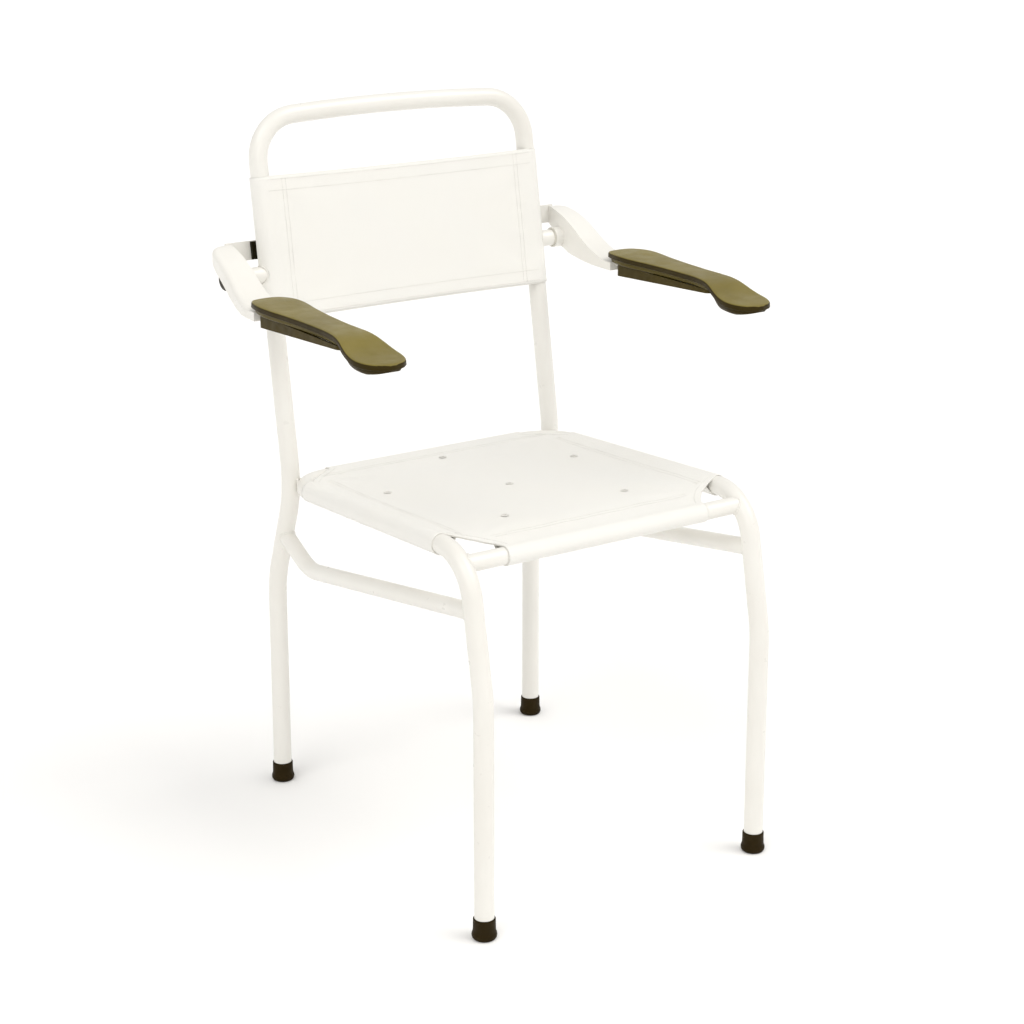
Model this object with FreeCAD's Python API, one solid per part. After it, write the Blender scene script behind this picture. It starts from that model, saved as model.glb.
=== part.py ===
import FreeCAD, Part
import math
import os

# Shower chair: bent steel tube frame, fabric sling seat and back, and two
# padded arms that swing up beside the back.
# Millimetres, +Z up.  X runs across the chair, the front of the seat faces -Y.
# The origin is on the floor, at the centre of the bounding box.

V = FreeCAD.Vector

# ---------------------------------------------------------------- dimensions
tube_r = 12.5            # main tube, 25 mm outside diameter
tube_wall = 1.6
rail_r = 11.0            # front cross rail
rail_wall = 1.5
half_w = 211.0           # tube centre line from the middle plane

front_foot_y = -267.0
rear_foot_y = 267.0
tube_end_z = 8.0         # leg tubes stop inside the rubber feet

front_bend_z = 310.0     # front leg leaves the vertical here
seat_front = (-232.8, 487.1)   # Y, Z where side rail and front leg lines meet
seat_rear = (214.1, 453.6)     # Y, Z of the rear rail
front_corner_r = 65.0
rear_corner_r = 53.0
leg_bend_r = 150.0

rear_bend_z = 304.0      # rear leg leaves the vertical here
knee = (213.9, 445.7)    # Y, Z where rear leg and upright lines meet
back_lean = math.radians(9.52)
top_corner_r = 60.0
top_side_s = 498.7       # along the upright from the knee to the top corner
top_mid_s = 510.0        # apex of the arched top bar
top_arch_r = 2800.0

front_rail_yz = (-219.4, 469.7)

stretcher_rear = (240.0, 376.0)
stretcher_low = (168.3, 343.7)
stretcher_front = (-246.0, 418.6)
stretcher_r = 11.0
stretcher_bend_r = 70.0

foot_h = 27.5
foot_top_r = 14.1
foot_wide_r = 15.9

fabric_t = 1.4
fabric_gap = 0.3
back_bottom_s = 232.0
back_top_s = 423.0
seat_sleeve_front_s = 50.0
seat_sleeve_rear_s = 384.0
front_wrap_half = 150.0
rear_wrap_half = 156.0

pivot_s = 293.3          # along the upright from the knee
collar_r = 11.5
axle_r = 6.0
stud_r = 4.0
arm_in_x = 255.0         # inner face of the arm channel
arm_out_x = 300.0        # outer face of the arm channel at the pad
arm_t = 3.0
boss_r = 15.0
pad_x = 278.0            # centre line of the arm pad

# hole layout of the seat: X, distance along the seat from its front datum
drain_holes = [(0.0, 393.0), (148.0, 288.0), (-148.0, 288.0), (0.0, 223.0),
               (92.0, 92.0), (-92.0, 92.0)]

# ------------------------------------------------------------ derived frames
up_dir = V(0, math.sin(back_lean), math.cos(back_lean))
up_front = V(0, -math.cos(back_lean), math.sin(back_lean))
knee_pt = V(0, knee[0], knee[1])


def on_back(x, s, off=0.0):
    """Point on the leaning back plane: x across, s up from the knee, off to the front."""
    return V(x, knee_pt.y, knee_pt.z) + up_dir * s + up_front * off


seat_datum = V(0, -222.2, 486.3)
seat_dir = V(0, seat_rear[0] - seat_datum.y, seat_rear[1] - seat_datum.z)
seat_len = seat_dir.Length
seat_dir.normalize()
seat_up = V(0, -seat_dir.z, seat_dir.y)


def on_seat(x, s, off=0.0):
    """Point on the seat plane: x across, s rearward from the datum, off upward."""
    return V(x, seat_datum.y, seat_datum.z) + seat_dir * s + seat_up * off


pivot = on_back(0, pivot_s)
top_y = on_back(0, top_mid_s - 4.0).y + tube_r
shift_y = -(top_y + (front_foot_y - foot_wide_r)) / 2.0


# ------------------------------------------------------------------- helpers
def bent(points, radii):
    """Wire through the points with each inner corner replaced by an arc."""
    edges = []
    last = points[0]
    for i in range(1, len(points) - 1):
        a, b, c = points[i - 1], points[i], points[i + 1]
        u = (a - b).normalize()
        w = (c - b).normalize()
        ang = u.getAngle(w)
        t = radii[i - 1] / math.tan(ang / 2.0)
        p1 = b + u * t
        p2 = b + w * t
        bis = (u + w).normalize()
        pm = b + bis * (radii[i - 1] / math.sin(ang / 2.0) - radii[i - 1])
        if (p1 - last).Length > 1e-3:
            edges.append(Part.makeLine(last, p1))
        edges.append(Part.Arc(p1, pm, p2).toShape())
        last = p2
    edges.append(Part.makeLine(last, points[-1]))
    return Part.Wire(edges)


def sweep(wire, r):
    e = wire.Edges[0]
    p = e.valueAt(e.FirstParameter)
    d = e.tangentAt(e.FirstParameter)
    if (wire.Edges[-1].valueAt(wire.Edges[-1].LastParameter) - p).Length < 1e-6:
        d = d * 1
    circ = Part.Wire([Part.Circle(p, d, r).toShape()])
    s = wire.makePipeShell([circ], True, False)
    if s.Volume < 0:
        s.reverse()
    return s


def tube(points, radii, r, wall):
    w = bent(points, radii)
    return sweep(w, r).cut(sweep(w, r - wall))


def cyl(p, d, r, h):
    return Part.makeCylinder(r, h, p, d)


def x_cyl(x0, x1, y, z, r):
    a, b = min(x0, x1), max(x0, x1)
    return Part.makeCylinder(r, b - a, V(a, y, z), V(1, 0, 0))


def yz_prism(pts, x0, x1):
    a, b = min(x0, x1), max(x0, x1)
    poly = [V(a, y, z) for y, z in pts] + [V(a, pts[0][0], pts[0][1])]
    return Part.Face(Part.makePolygon(poly)).extrude(V(b - a, 0, 0))


def yz_profile(segs, x0, x1):
    """segs: lists of (y, z); each list with more than two points is one smooth curve."""
    a, b = min(x0, x1), max(x0, x1)
    edges = []
    for s in segs:
        pts = [V(a, y, z) for y, z in s]
        if len(pts) == 2:
            edges.append(Part.makeLine(pts[0], pts[1]))
        else:
            c = Part.BSplineCurve()
            c.interpolate(pts)
            edges.append(c.toShape())
    return Part.Face(Part.Wire(edges)).extrude(V(b - a, 0, 0))


def xy_loop(pts, z0, z1):
    c = Part.BSplineCurve()
    c.interpolate([V(x, y, z0) for x, y in pts], PeriodicFlag=True)
    return Part.Face(Part.Wire([c.toShape()])).extrude(V(0, 0, z1 - z0))


def mirror(shape):
    return shape.mirror(V(0, 0, 0), V(1, 0, 0))


def box_between(x0, x1, y0, y1, z0, z1):
    return Part.makeBox(abs(x1 - x0), abs(y1 - y0), abs(z1 - z0),
                        V(min(x0, x1), min(y0, y1), min(z0, z1)))


parts = {}

# --------------------------------------------------------------------- frame
# One bent tube makes both rear legs, both uprights and the top bar.
back_pts = [V(-half_w, rear_foot_y, tube_end_z), V(-half_w, rear_foot_y, rear_bend_z),
            on_back(-half_w, 0), on_back(-half_w, top_side_s), on_back(0, top_mid_s),
            on_back(half_w, top_side_s), on_back(half_w, 0),
            V(half_w, rear_foot_y, rear_bend_z), V(half_w, rear_foot_y, tube_end_z)]
back_rad = [leg_bend_r, leg_bend_r, top_corner_r, top_arch_r, top_corner_r, leg_bend_r, leg_bend_r]
back_wire = bent(back_pts, back_rad)
back_outer = sweep(back_wire, tube_r)
parts["back_frame"] = back_outer.cut(sweep(back_wire, tube_r - tube_wall))

# A second bent tube makes the front legs, the seat's side rails and rear rail.
seat_pts = [V(-half_w, front_foot_y, tube_end_z), V(-half_w, front_foot_y, front_bend_z),
            V(-half_w, seat_front[0], seat_front[1]), V(-half_w, seat_rear[0], seat_rear[1]),
            V(half_w, seat_rear[0], seat_rear[1]), V(half_w, seat_front[0], seat_front[1]),
            V(half_w, front_foot_y, front_bend_z), V(half_w, front_foot_y, tube_end_z)]
seat_rad = [leg_bend_r, front_corner_r, rear_corner_r, rear_corner_r, front_corner_r, leg_bend_r]
seat_wire = bent(seat_pts, seat_rad)
seat_outer = sweep(seat_wire, tube_r)
parts["seat_frame"] = seat_outer.cut(sweep(seat_wire, tube_r - tube_wall))

# Front cross rail, coped to the front bends.
fy, fz = front_rail_yz
rail = x_cyl(-half_w + 3, half_w - 3, fy, fz, rail_r).cut(
    x_cyl(-half_w, half_w, fy, fz, rail_r - rail_wall))
seat_clear = sweep(seat_wire, tube_r + 0.05)
rail = rail.cut(seat_clear)
parts["front_rail"] = max(rail.Solids, key=lambda q: q.Volume)

# Side stretchers, coped to the front and rear legs.
back_clear = sweep(back_wire, tube_r + 0.05)
st = tube([V(-half_w, *stretcher_rear), V(-half_w, *stretcher_low), V(-half_w, *stretcher_front)],
          [stretcher_bend_r], stretcher_r, rail_wall)
st = st.cut(seat_clear).cut(back_clear)
st = max(st.Solids, key=lambda q: q.Volume)
parts["side_stretcher_left"] = st
parts["side_stretcher_right"] = mirror(st)

# -------------------------------------------------------------- rubber feet
def foot(x, y):
    r0 = tube_r + 0.05
    prof = [(0, 0), (12.4, 0), (14.4, 0.9), (15.5, 2.6), (foot_wide_r, 5.0), (15.6, 7.2),
            (14.7, 9.4), (14.3, 12.5), (foot_top_r, foot_h - 1.5), (foot_top_r - 0.7, foot_h - 0.4),
            (13.1, foot_h), (r0, foot_h), (r0, 5.9), (0, 5.9)]
    pts = [V(x + r, y, z) for r, z in prof] + [V(x, y, 0)]
    face = Part.Face(Part.makePolygon(pts))
    return face.revolve(V(x, y, 0), V(0, 0, 1), 360)


for name, x, y in (("foot_front_left", -half_w, front_foot_y), ("foot_front_right", half_w, front_foot_y),
                   ("foot_rear_left", -half_w, rear_foot_y), ("foot_rear_right", half_w, rear_foot_y)):
    parts[name] = foot(x, y)

# Steel disc in the bottom of each foot, under the tube's end.
parts["foot_discs"] = Part.makeCompound([
    Part.makeCylinder(12.0, 1.5, V(x, y, 6.2)) for x in (-half_w, half_w)
    for y in (front_foot_y, rear_foot_y)])

# -------------------------------------------------------------- seat sling
g_r = tube_r + fabric_gap
o_r = g_r + fabric_t
skin = [(448.5, 6.5), (430, 11.2), (400, 10.6), (330, 7.2), (220, 5.0), (110, 5.2), (60, 4.6),
        (30, 0.6), (8, -3.0), (-6, -6.2)]
top = [(on_seat(0, s, o).y, on_seat(0, s, o).z) for s, o in skin]
bot = [(on_seat(0, s, o - 2.4).y, on_seat(0, s, o - 2.4).z) for s, o in reversed(skin)]
panel = yz_profile([top, [top[-1], bot[0]], bot, [bot[-1], top[0]]], -half_w, half_w)


def seat_plan(pts):
    q = [on_seat(x, s, -60) for x, s in pts]
    return Part.Face(Part.makePolygon(q + [q[0]])).extrude(seat_up * 120)


plan_half = [(-front_wrap_half, -30), (-front_wrap_half, 2), (-158, 16), (-176, 34), (-196, 46), (-211, 50),
             (-211, seat_sleeve_rear_s), (-193, 404), (-172, 422), (-rear_wrap_half, 432), (-rear_wrap_half, 460)]
plan = plan_half + [(-x, s) for x, s in reversed(plan_half)]
panel = panel.common(seat_plan(plan))
sling = panel
for sx in (-1, 1):
    sling = sling.fuse(cyl(on_seat(sx * half_w, seat_sleeve_front_s), seat_dir, o_r,
                           seat_sleeve_rear_s - seat_sleeve_front_s))
rr = V(0, seat_rear[0], seat_rear[1])
sling = sling.fuse(x_cyl(-rear_wrap_half, rear_wrap_half, rr.y, rr.z, o_r))
sling = sling.fuse(x_cyl(-front_wrap_half, front_wrap_half, fy, fz, rail_r + fabric_gap + fabric_t))
sling = sling.cut(sweep(seat_wire, g_r))
sling = sling.cut(x_cyl(-half_w, half_w, fy, fz, rail_r + fabric_gap))
eye_out, eye_in, eye_t = 5.2, 2.6, 1.0


def seat_off(s):
    """Height of the panel's top over the seat plane."""
    pts = sorted(skin)
    for (a, oa), (b, ob) in zip(pts, pts[1:]):
        if a <= s <= b:
            return oa + (ob - oa) * (s - a) / (b - a)
    return 0.0


for hx, hs in drain_holes:
    sling = sling.cut(cyl(on_seat(hx, hs, -20), seat_up, 3.6, 60))
parts["seat_sling"] = max(sling.Solids, key=lambda q: q.Volume)

# Eyelets that line the drain holes.
eyes = []
for hx, hs in drain_holes:
    o = seat_off(hs)
    body = cyl(on_seat(hx, hs, o - 3.5), seat_up, 3.5, 4.5)
    lip = cyl(on_seat(hx, hs, o + 0.1), seat_up, eye_out, eye_t)
    under = cyl(on_seat(hx, hs, o - 3.5), seat_up, eye_out - 0.4, 0.9)
    ring = body.fuse(lip).fuse(under).cut(cyl(on_seat(hx, hs, o - 10), seat_up, eye_in, 20))
    ring = ring.cut(parts["seat_sling"])
    eyes.append(max(ring.Solids, key=lambda q: q.Volume))
parts["drain_eyelets"] = Part.makeCompound(eyes)

# -------------------------------------------------------------- back sling
bskin = [(back_bottom_s, 12.0), ((back_bottom_s + back_top_s) / 2, 12.0), (back_top_s, 12.0)]
bp = []
q0 = on_back(-half_w, back_bottom_s, 10.6)
slab = Part.Face(Part.makePolygon([on_back(-half_w, back_bottom_s, 10.4), on_back(half_w, back_bottom_s, 10.4),
                                   on_back(half_w, back_top_s, 10.4), on_back(-half_w, back_top_s, 10.4),
                                   on_back(-half_w, back_bottom_s, 10.4)])).extrude(up_front * 2.4)
bs = slab
for sx in (-1, 1):
    bs = bs.fuse(cyl(on_back(sx * half_w, back_bottom_s), up_dir, o_r, back_top_s - back_bottom_s))
for sx in (-1, 1):
    bs = bs.cut(cyl(on_back(sx * half_w, back_bottom_s - 5), up_dir, g_r, back_top_s - back_bottom_s + 10))
    bs = bs.cut(x_cyl(sx * half_w, sx * (half_w + 40), pivot.y, pivot.z, collar_r + 0.5))
parts["back_sling"] = max(bs.Solids, key=lambda q: q.Volume)

# ------------------------------------------------------------- arm pivot
# Everything below is built on the right side (+X) and mirrored to the left.
py, pz = pivot.y, pivot.z
stub = x_cyl(half_w + 4, 241.0, py, pz, collar_r)
stub = stub.fuse(x_cyl(240.0, 262.0, py, pz, axle_r))
stub = stub.fuse(x_cyl(261.0, 273.0, py, pz, stud_r))
stub = stub.cut(sweep(back_wire, tube_r + 0.02))
stub = max(stub.Solids, key=lambda q: q.Volume)

washer = x_cyl(262.2, 263.8, py, pz, 11.5).cut(x_cyl(260, 266, py, pz, stud_r + 0.1))
hexa = [(py + 7.2 * math.cos(math.radians(a)), pz + 7.2 * math.sin(math.radians(a))) for a in range(0, 360, 60)]
nut = yz_prism(hexa, 264.0, 271.0).cut(x_cyl(260, 275, py, pz, stud_r + 0.05))
cap = x_cyl(264.4, 281.0, py, pz, 15.0)
try:
    rim = [e for e in cap.Edges if e.Curve.TypeId == "Part::GeomCircle" and abs(e.CenterOfMass.x - 281.0) < 0.01]
    cap = cap.makeFillet(5.0, rim)
except Exception:
    pass
cap = cap.cut(x_cyl(264.0, 274.0, py, pz, 7.6))
cap = cap.cut(x_cyl(264.0, 266.0, py, pz, 12.0))

bush = x_cyl(241.3, 261.8, py, pz, 9.0).fuse(x_cyl(241.3, 242.8, py, pz, 13.0))
bush = bush.cut(x_cyl(235, 270, py, pz, axle_r + 0.05))

# ------------------------------------------------------------- arm bracket
upper = [(297.0, 771.5), (293.0, 774.0), (286.0, 775.0), (278.0, 773.8), (270.0, 771.5), (255.0, 767.0),
         (240.0, 760.8), (226.0, 753.5), (213.0, 745.5), (200.0, 737.8), (187.0, 731.2), (175.0, 727.0),
         (164.0, 723.4), (155.0, 720.6), (146.0, 719.3), (134.0, 719.0)]
web_drop = -0.03         # the web falls this much per mm toward the outer side


def sheared(face_segs, x0, x1):
    a, b = x0, x1
    f = yz_profile(face_segs, a, a + 1.0)
    base_face = min(f.Faces, key=lambda q: q.CenterOfMass.x)
    return base_face.extrude(V(b - a, 0, web_drop * (b - a)))


def back_box(x0, x1, s0, s1, n0, n1):
    """Block behind the back plane: s along the upright, n rearward of its axis."""
    c = [on_back(0, s0, -n0), on_back(0, s1, -n0), on_back(0, s1, -n1), on_back(0, s0, -n1)]
    return yz_prism([(q.y, q.z) for q in c], x0, x1)


# rear end, then the lower edge of the inner flange with the lobe round the pivot
lobe = [(py + boss_r * math.cos(math.radians(a)), pz + boss_r * math.sin(math.radians(a)))
        for a in (25, 0, -30, -60, -90, -115)]
lower_in = [(291.5, 757.0), (284.0, 748.0)] + lobe + [(241.0, 716.6), (220.0, 712.2), (198.0, 709.4),
           (178.0, 708.0), (156.0, 707.6), (134.0, 707.6)]
base = yz_profile([upper, [upper[-1], lower_in[-1]], list(reversed(lower_in)), [lower_in[0], upper[0]]],
                  arm_in_x, arm_out_x + 2)
roof = sheared([upper, [upper[-1], (134.0, 640.0)], [(134.0, 640.0), (293.0, 640.0)], [(293.0, 640.0), upper[0]]],
               arm_in_x, arm_out_x + 2)
# only the raised part of the arm is tilted; the end under the pad stays level
level = box_between(arm_in_x - 1, arm_out_x + 5, 100.0, 152.0, 640.0, 719.4)
base = base.common(roof.fuse(level))


def arm_plan(inset):
    pts = [(262.0, 297.0 - inset), (273.0 - inset, 294.0 - inset), (283.0 - inset, 286.0 - inset),
           (288.5 - inset, 272.0), (291.0 - inset, 252.0), (293.0 - inset, 225.0), (296.0 - inset, 195.0),
           (299.0 - inset, 165.0), (300.0 - inset, 140.0), (300.0 - inset, 118.0)]
    c = Part.BSplineCurve()
    c.interpolate([V(x, y, 640) for x, y in pts])
    e = [c.toShape(), Part.makeLine(V(pts[-1][0], pts[-1][1], 640), V(arm_in_x - 5 + inset * 2.7, 118.0, 640)),
         Part.makeLine(V(arm_in_x - 5 + inset * 2.7, 118.0, 640), V(arm_in_x - 5 + inset * 2.7, 297.0 - inset, 640)),
         Part.makeLine(V(arm_in_x - 5 + inset * 2.7, 297.0 - inset, 640), V(pts[0][0], pts[0][1], 640))]
    return Part.Face(Part.Wire(e)).extrude(V(0, 0, 160))


base = base.common(arm_plan(0.0))
top_edges = []
for e in base.Edges:
    bb = e.BoundBox
    if bb.YLength > 100 and bb.XMin > 256 and bb.ZMax > 760:
        top_edges.append(e)
for rad in (7.0, 5.0, 3.0):
    try:
        t = base.makeFillet(rad, top_edges)
        if t.isValid() and t.Volume > 0.8 * base.Volume:
            base = t
            break
    except Exception:
        pass
# the outer flange is short: it stops above the pivot
lower_out = [(310.0, 768.0), (284.0, 757.0), (268.0, 749.5), (250.0, 741.0), (233.0, 732.0), (213.0, 720.5),
             (192.0, 712.0), (170.0, 707.0), (150.0, 705.0), (120.0, 704.0)]
cutter = yz_prism(lower_out + [(120.0, 640.0), (310.0, 640.0)], arm_in_x + 9.0, arm_out_x + 5)
base = base.cut(cutter)
# hollow the channel from below
in_up = [(290.5, 766.5), (286.0, 771.4)] + [(y, z - arm_t - 0.2) for y, z in upper[3:-3]] + [(158.0, 718.6), (153.0, 717.2)]
hollow = sheared([in_up[0:1] + in_up[1:], [in_up[-1], (153.0, 640.0)], [(153.0, 640.0), (290.5, 640.0)],
                  [(290.5, 640.0), in_up[0]]], arm_in_x, arm_out_x + 2)
hollow = hollow.common(arm_plan(arm_t))
base = base.cut(hollow)
# boss round the pivot, tongue under the pad, and tab that carries the stop
boss = x_cyl(243.0, arm_in_x + 1, py, pz, boss_r - 0.4).fuse(x_cyl(arm_in_x, 261.0, py, pz, 12.5))
tongue = box_between(pad_x - 15, pad_x + 15, -60.0, 156.0, 715.0, 719.0)
tab = back_box(210.0, 262.0, pivot_s + 20.5, pivot_s + 46.0, 20.0, 23.0)
tab2 = back_box(250.0, 268.0, pivot_s + 20.5, pivot_s + 40.0, 20.0, 23.0)
bracket = base.fuse(boss).fuse(tongue).fuse(tab).fuse(tab2)
bracket = bracket.cut(x_cyl(235, 262, py, pz, 9.0)).cut(x_cyl(240, 243.0, py, pz, 14.0))
bracket = bracket.cut(x_cyl(262.0, 284.0, py, pz, 17.0))
screw_y = [108.0, 25.0, -42.0]
for sy in screw_y:
    bracket = bracket.cut(Part.makeCylinder(3.2, 20, V(pad_x, sy, 706)))
bracket = max(bracket.Solids, key=lambda q: q.Volume)

# Rubber stop on the tab, resting on the rear of the upright.
bumper = back_box(210.5, 226.0, pivot_s + 21.0, pivot_s + 45.0, 14.5, 20.0)

# -------------------------------------------------------------- pad carrier
def car_slab(hr, hf, y0, y1, z0, z1):
    """Long tapering tray outline with rounded ends, as a prism."""
    pts = []
    for k in range(7):
        a = math.pi * k / 6
        pts.append(V(pad_x + hr * math.cos(a), y0 - 12 + 12 * math.sin(a), z0))
    for k in range(7):
        a = math.pi + math.pi * k / 6
        pts.append(V(pad_x + hf * math.cos(a), y1 + 12 + 12 * math.sin(a), z0))
    e = []
    c = Part.BSplineCurve()
    c.interpolate(pts[:7])
    e.append(c.toShape())
    e.append(Part.makeLine(pts[6], pts[7]))
    c = Part.BSplineCurve()
    c.interpolate(pts[7:])
    e.append(c.toShape())
    e.append(Part.makeLine(pts[13], pts[0]))
    return Part.Face(Part.Wire(e)).extrude(V(0, 0, z1 - z0))


carrier = car_slab(22.0, 17.0, 127.0, -84.0, 690.0, 719.4)
carrier = carrier.common(yz_prism([(140, 701.8), (140, 719.4), (-130, 719.4), (-130, 717.4)],
                                  pad_x - 40, pad_x + 40))
carrier = carrier.cut(box_between(pad_x - 15.3, pad_x + 15.3, -60.5, 140.0, 714.8, 730.0))
heads = []
inserts = []
for sy in screw_y:
    zb = 701.8 + (717.4 - 701.8) * (140.0 - sy) / 270.0
    zh = min(zb + 3.4, 714.6)
    carrier = carrier.cut(Part.makeCylinder(3.2, 30, V(pad_x, sy, 695)))
    carrier = carrier.cut(Part.makeCylinder(5.7, zh - 695, V(pad_x, sy, 695)))
    screw = Part.makeCylinder(5.4, 2.6, V(pad_x, sy, zh - 2.6))
    screw = screw.fuse(Part.makeCylinder(3.0, 728.5 - zh, V(pad_x, sy, zh - 0.1)))
    hx6 = [V(pad_x + 2.1 * math.cos(math.radians(a)), sy + 2.1 * math.sin(math.radians(a)), zh - 3.0)
           for a in range(0, 360, 60)]
    screw = screw.cut(Part.Face(Part.makePolygon(hx6 + [hx6[0]])).extrude(V(0, 0, 2.2)))
    heads.append(screw)
    inserts.append(Part.makeCylinder(5.0, 9.5, V(pad_x, sy, 720.5)).cut(
        Part.makeCylinder(3.05, 12.0, V(pad_x, sy, 719.5))))

# ------------------------------------------------------------------ arm pad
pad_half = [(152.0, 6.0), (149.5, 12.5), (144.0, 19.0), (135.0, 24.8), (122.0, 29.2), (106.0, 31.6), (90.0, 31.4),
            (72.0, 29.6), (54.0, 27.2), (34.0, 25.2), (14.0, 23.6), (-8.0, 22.5), (-30.0, 21.8), (-52.0, 21.9),
            (-73.0, 23.2), (-93.0, 25.8), (-113.0, 28.8), (-131.0, 30.6), (-147.0, 29.6), (-159.0, 25.6),
            (-167.0, 19.6), (-171.5, 12.8), (-174.0, 6.0)]


def pad_loop(inset):
    pts = []
    for y, h in pad_half:
        yy = y - inset if y > 105 else (y + inset if y < -150 else y)
        pts.append((pad_x + h - inset, yy))
    pts += [(2 * pad_x - x, y) for x, y in reversed(pts)]
    return pts


pad = xy_loop(pad_loop(0.0), 690.0, 750.0)
pad_top = [(156.0, 730.4), (152.0, 731.6), (146.0, 733.4), (133.0, 734.6), (60.0, 735.0), (-30.0, 735.0),
           (-62.0, 734.9), (-80.0, 734.0), (-95.0, 731.0), (-107.0, 726.6), (-119.0, 722.4), (-132.0, 719.4),
           (-148.0, 717.6), (-165.0, 716.8), (-184.0, 716.4)]
rim_low = [(-184.0, 710.6), (-165.0, 711.0), (-148.0, 711.8), (-132.0, 713.6), (-119.0, 716.6), (-107.0, 720.8),
           (-95.0, 725.2), (-80.0, 728.2), (-62.0, 729.1), (0.0, 729.2), (100.0, 729.2), (156.0, 729.2)]
rim = yz_profile([pad_top, [pad_top[-1], rim_low[0]], rim_low, [rim_low[-1], pad_top[0]]], pad_x - 45, pad_x + 45)
pad_rim = pad.common(rim)
core = xy_loop(pad_loop(5.0), 690.0, 750.0)
core_prof = yz_prism([(150, 719.6), (150, 731.0), (-80, 729.5), (-95, 727.0), (-107, 723.0), (-119, 719.0),
                      (-132, 716.0), (-148, 714.0), (-165, 713.0), (-182, 712.6), (-176, 706.5), (-166, 702.4),
                      (-150, 700.4), (-124, 700.2), (-113, 702.0), (-106, 707.0), (-100, 713.5), (-94, 718.2),
                      (-87, 719.6)], pad_x - 45, pad_x + 45)
pad_core = core.common(core_prof)
pad = pad_rim.fuse(pad_core)
for sy in screw_y:
    pad = pad.cut(Part.makeCylinder(5.05, 12.1, V(pad_x, sy, 718.0)))
pad = max(pad.Solids, key=lambda q: q.Volume)

sides = {"pivot_stub": stub, "pivot_washer": washer, "pivot_nut": nut, "pivot_cap": cap, "pivot_bush": bush,
         "arm_bracket": bracket, "stop_bumper": bumper, "pad_carrier": carrier, "arm_pad": pad,
         "pad_screws": Part.makeCompound(heads), "pad_inserts": Part.makeCompound(inserts)}
for k, s in sides.items():
    parts[k + "_right"] = s
    parts[k + "_left"] = mirror(s)

# -------------------------------------------------------------------- export
os.makedirs("parts", exist_ok=True)
for name, s in parts.items():
    s = s.copy()
    s.translate(V(0, shift_y, 0))
    s.exportStep("parts/" + name + ".step")
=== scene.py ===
import math

import bmesh
import bpy
import numpy as np
from mathutils import Matrix, Vector


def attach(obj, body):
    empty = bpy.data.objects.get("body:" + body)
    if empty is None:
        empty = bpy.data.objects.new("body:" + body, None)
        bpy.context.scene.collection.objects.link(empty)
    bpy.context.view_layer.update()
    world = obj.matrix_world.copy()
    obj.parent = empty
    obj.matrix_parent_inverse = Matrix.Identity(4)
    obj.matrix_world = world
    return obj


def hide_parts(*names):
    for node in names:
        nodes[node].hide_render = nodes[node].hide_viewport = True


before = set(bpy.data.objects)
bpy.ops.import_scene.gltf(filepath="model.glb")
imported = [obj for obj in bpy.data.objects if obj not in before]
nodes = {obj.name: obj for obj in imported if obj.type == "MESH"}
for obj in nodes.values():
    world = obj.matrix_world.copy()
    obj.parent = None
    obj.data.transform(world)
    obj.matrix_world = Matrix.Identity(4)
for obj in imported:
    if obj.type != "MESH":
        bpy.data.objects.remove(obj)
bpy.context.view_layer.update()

MM = 0.001
SHIFT_Y = -13.59          # the model's Y is measured from its bounding box's middle
rng = np.random.default_rng(7)

# Seat and back planes in millimetres, as the tube lines lie.
KNEE = np.array([0.0, 213.9, 445.7])
LEAN = math.radians(9.52)
B_UP = np.array([0.0, math.sin(LEAN), math.cos(LEAN)])
B_FR = np.array([0.0, -math.cos(LEAN), math.sin(LEAN)])
DATUM = np.array([0.0, -222.2, 486.3])
S_DIR = np.array([0.0, 214.1 + 222.2, 453.6 - 486.3])
S_LEN = float(np.linalg.norm(S_DIR))
S_DIR = S_DIR / S_LEN
S_UP = np.array([0.0, -S_DIR[2], S_DIR[1]])
HALF = 211.0
R_MID = 13.5              # cloth's middle surface round a 25 mm tube
XV = np.array([1.0, 0.0, 0.0])


def out(p):
    """Millimetres to the model's metres."""
    p = np.asarray(p, float).copy()
    p[..., 1] += SHIFT_Y
    return p * MM


def seat3(x, s, off):
    x, s, off = np.broadcast_arrays(np.asarray(x, float), np.asarray(s, float), np.asarray(off, float))
    return DATUM + x[..., None] * XV + s[..., None] * S_DIR + off[..., None] * S_UP


def back3(x, s, off):
    x, s, off = np.broadcast_arrays(np.asarray(x, float), np.asarray(s, float), np.asarray(off, float))
    return KNEE + x[..., None] * XV + s[..., None] * B_UP + off[..., None] * B_FR


def smooth(keys, t):
    """Cubic through the key points, with finite-difference slopes."""
    k = np.array(sorted(keys), float)
    x, y = k[:, 0], k[:, 1]
    m = np.gradient(y, x)
    t = np.clip(np.asarray(t, float), x[0], x[-1])
    i = np.clip(np.searchsorted(x, t, side="right") - 1, 0, len(x) - 2)
    h = x[i + 1] - x[i]
    u = (t - x[i]) / h
    return ((2 * u**3 - 3 * u**2 + 1) * y[i] + (u**3 - 2 * u**2 + u) * h * m[i]
            + (-2 * u**3 + 3 * u**2) * y[i + 1] + (u**3 - u**2) * h * m[i + 1])


def step(a, b, t):
    u = np.clip((np.asarray(t, float) - a) / (b - a), 0, 1)
    return u * u * (3 - 2 * u)


# ------------------------------------------------------------------ materials
def new_mat(name, color, rough, **k):
    m = bpy.data.materials.new(name)
    m.use_nodes = True
    b = m.node_tree.nodes["Principled BSDF"]
    b.inputs["Base Color"].default_value = (*color, 1)
    b.inputs["Roughness"].default_value = rough
    for key, v in k.items():
        b.inputs[key.replace("_", " ")].default_value = v
    return m, m.node_tree, b


def nn(t, kind, **props):
    n = t.nodes.new(kind)
    for k, v in props.items():
        setattr(n, k, v)
    return n


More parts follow.
